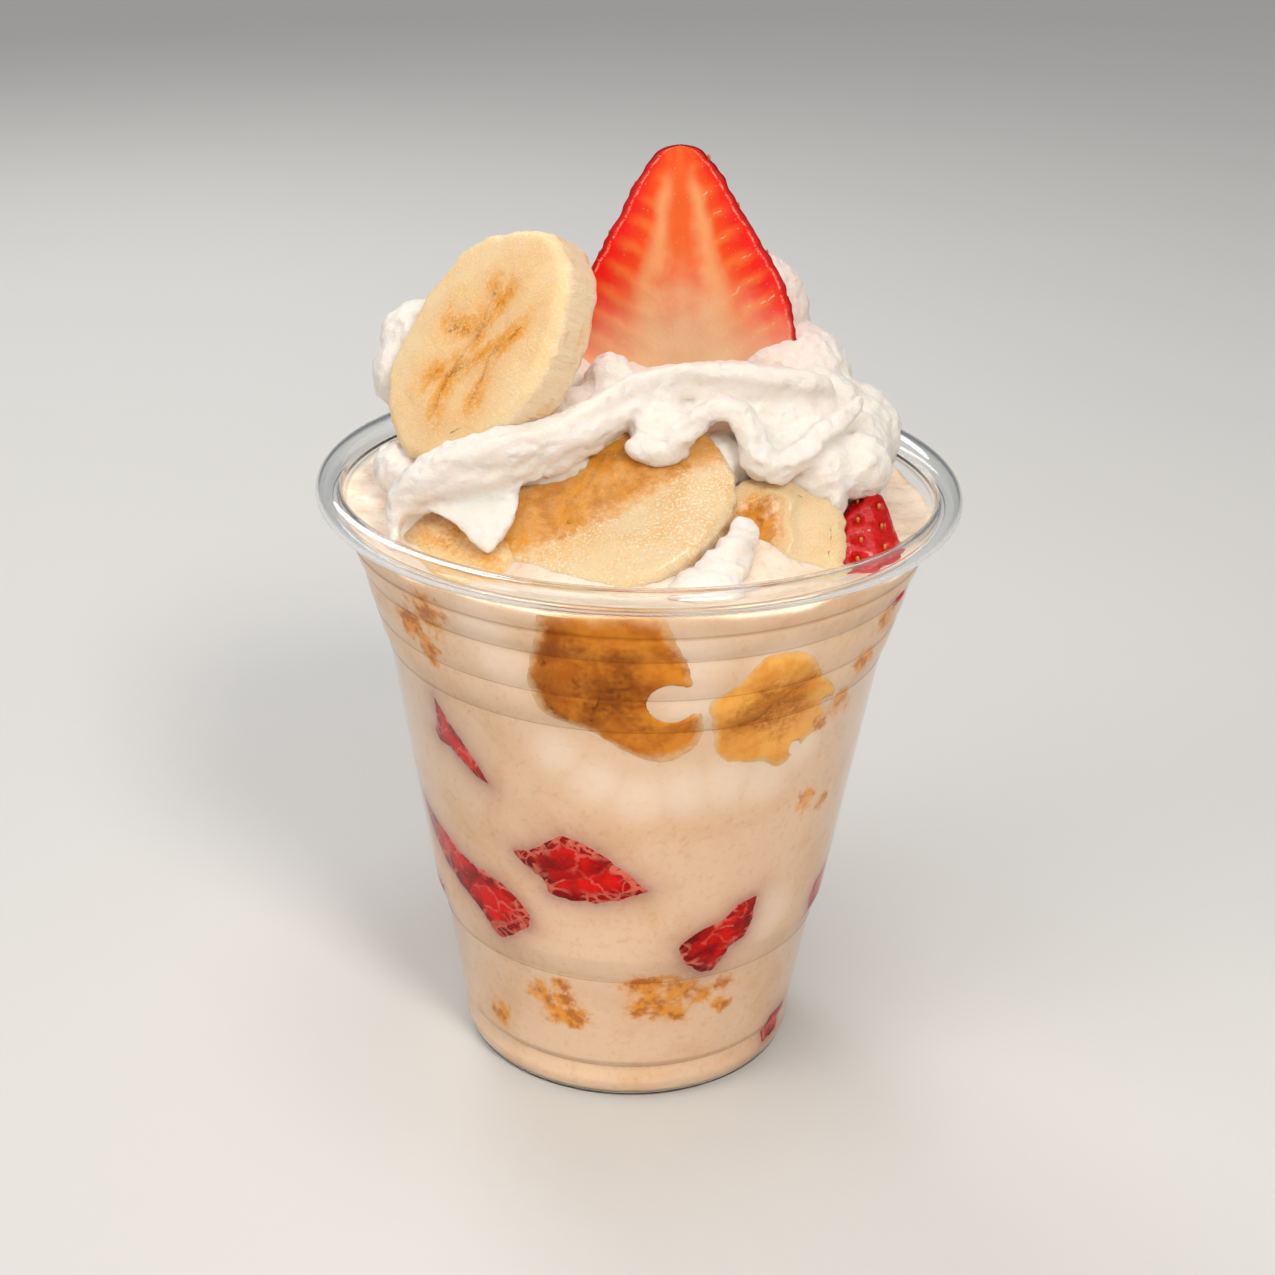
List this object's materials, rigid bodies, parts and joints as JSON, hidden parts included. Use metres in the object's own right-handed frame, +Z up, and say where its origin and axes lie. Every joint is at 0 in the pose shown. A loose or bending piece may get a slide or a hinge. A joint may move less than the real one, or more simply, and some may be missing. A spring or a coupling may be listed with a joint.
{
  "type": "strawberry and banana cream dessert in a clear cup",
  "caption": "Clear plastic dessert cup filled with cream, banana slices and cut strawberry, topped with whipped cream and an upright strawberry half.",
  "frame": {"origin": "middle of the cup's foot, on the surface it stands on", "axes": "+Z up; -Y is the front, where the cut face of the strawberry half looks; +X to the right seen from the front"},
  "size_m": [0.098, 0.098, 0.1459],
  "materials": {
    "clear_plastic": "clear, thin, glossy",
    "cream": "smooth pale cream with a soft shine",
    "whipped_cream": "soft matte, slightly rough",
    "banana": "moist cut fruit",
    "strawberry": "moist and glossy"
  },
  "bodies": {
    "root": {"cup": "clear_plastic", "cream": "cream", "whipped_cream": "whipped_cream", "banana_slice_upright": "banana", "banana_slice_front": "banana", "banana_slice_right": "banana", "banana_slice_low": "banana", "strawberry_half": "strawberry", "strawberry_chunk": "strawberry", "strawberry_wall_upper": "strawberry", "strawberry_wall_left": "strawberry", "strawberry_wall_front": "strawberry", "strawberry_wall_right": "strawberry", "strawberry_wall_side": "strawberry", "strawberry_wall_foot": "strawberry", "strawberry_back_a": "strawberry", "strawberry_back_b": "strawberry", "strawberry_back_c": "strawberry", "strawberry_back_d": "strawberry", "strawberry_back_e": "strawberry", "strawberry_back_f": "strawberry", "banana_wall_left": "banana", "banana_wall_right": "banana", "banana_back_a": "banana", "banana_back_b": "banana"}
  },
  "joints": []
}
